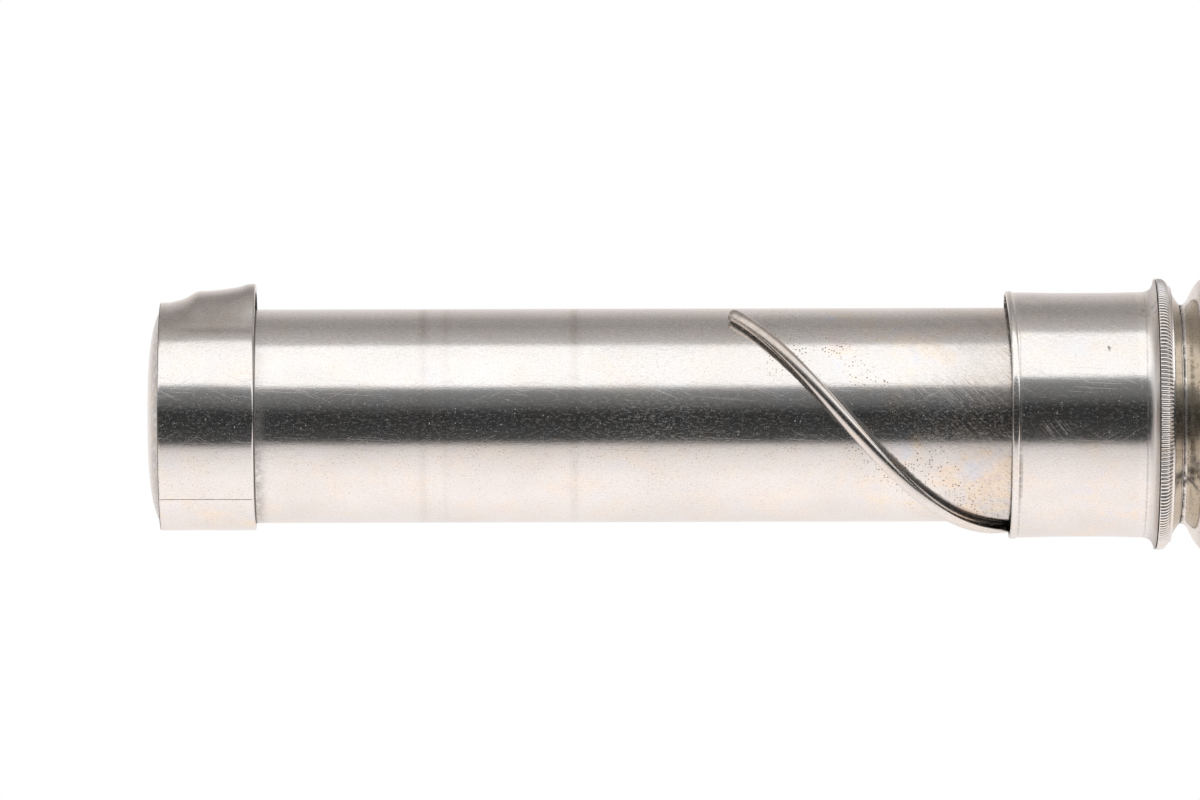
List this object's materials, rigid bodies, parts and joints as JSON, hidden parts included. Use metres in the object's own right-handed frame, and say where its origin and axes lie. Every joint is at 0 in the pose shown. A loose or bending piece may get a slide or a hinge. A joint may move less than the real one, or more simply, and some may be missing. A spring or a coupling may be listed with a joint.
{
  "type": "fishing rod reel seat",
  "caption": "Tubular reel seat for a fishing rod, with a hooded butt cap and a sliding hood that a milled nut draws along a spiral wire.",
  "frame": {"origin": "centre of the front face, on the barrel's axis, where the rod butt enters the core", "axes": "+X along the barrel from the butt cap to the rod, +Z towards the side with the cap's hood, where the reel foot lies"},
  "size_m": [0.0953, 0.0246, 0.0246],
  "materials": {
    "nickel_silver": "polished nickel silver with fine scratches and light tarnish",
    "worn_nickel": "worn and pitted plate with brass showing at the rim",
    "brass": "dull brown brass",
    "spring_steel": "plain",
    "hardwood": "bare turned wood",
    "cork": "sanded cork"
  },
  "bodies": {
    "seat": {"core": "hardwood", "cork_ring": "cork", "barrel": "nickel_silver", "cap_skirt": "nickel_silver", "cap_disc": "nickel_silver", "cap_pin_1": "nickel_silver", "cap_pin_2": "nickel_silver", "barrel_pin_1": "nickel_silver", "barrel_pin_2": "nickel_silver", "spiral_wire": "nickel_silver", "grip_check": "worn_nickel"},
    "sliding_hood": {"mouth_ring": "nickel_silver", "hood_sleeve": "nickel_silver", "hood_flange": "nickel_silver"},
    "lock_nut": {"nut_hub": "brass", "milled_ring": "nickel_silver", "swivel_ring": "spring_steel"}
  },
  "joints": [
    {"name": "hood_slide", "type": "slide", "parent": "seat", "child": "sliding_hood", "axis": [-1, 0, 0], "range_m": [0, 0.0358]},
    {"name": "nut_turn", "type": "hinge", "parent": "sliding_hood", "child": "lock_nut", "pos_m": [-0.005, 0, 0], "axis": [-1, 0, 0], "range_deg": [0, 235]}
  ],
  "couplings": [
    {"joint": "nut_turn", "follows": "hood_slide", "rad_per_m": 114.24}
  ]
}
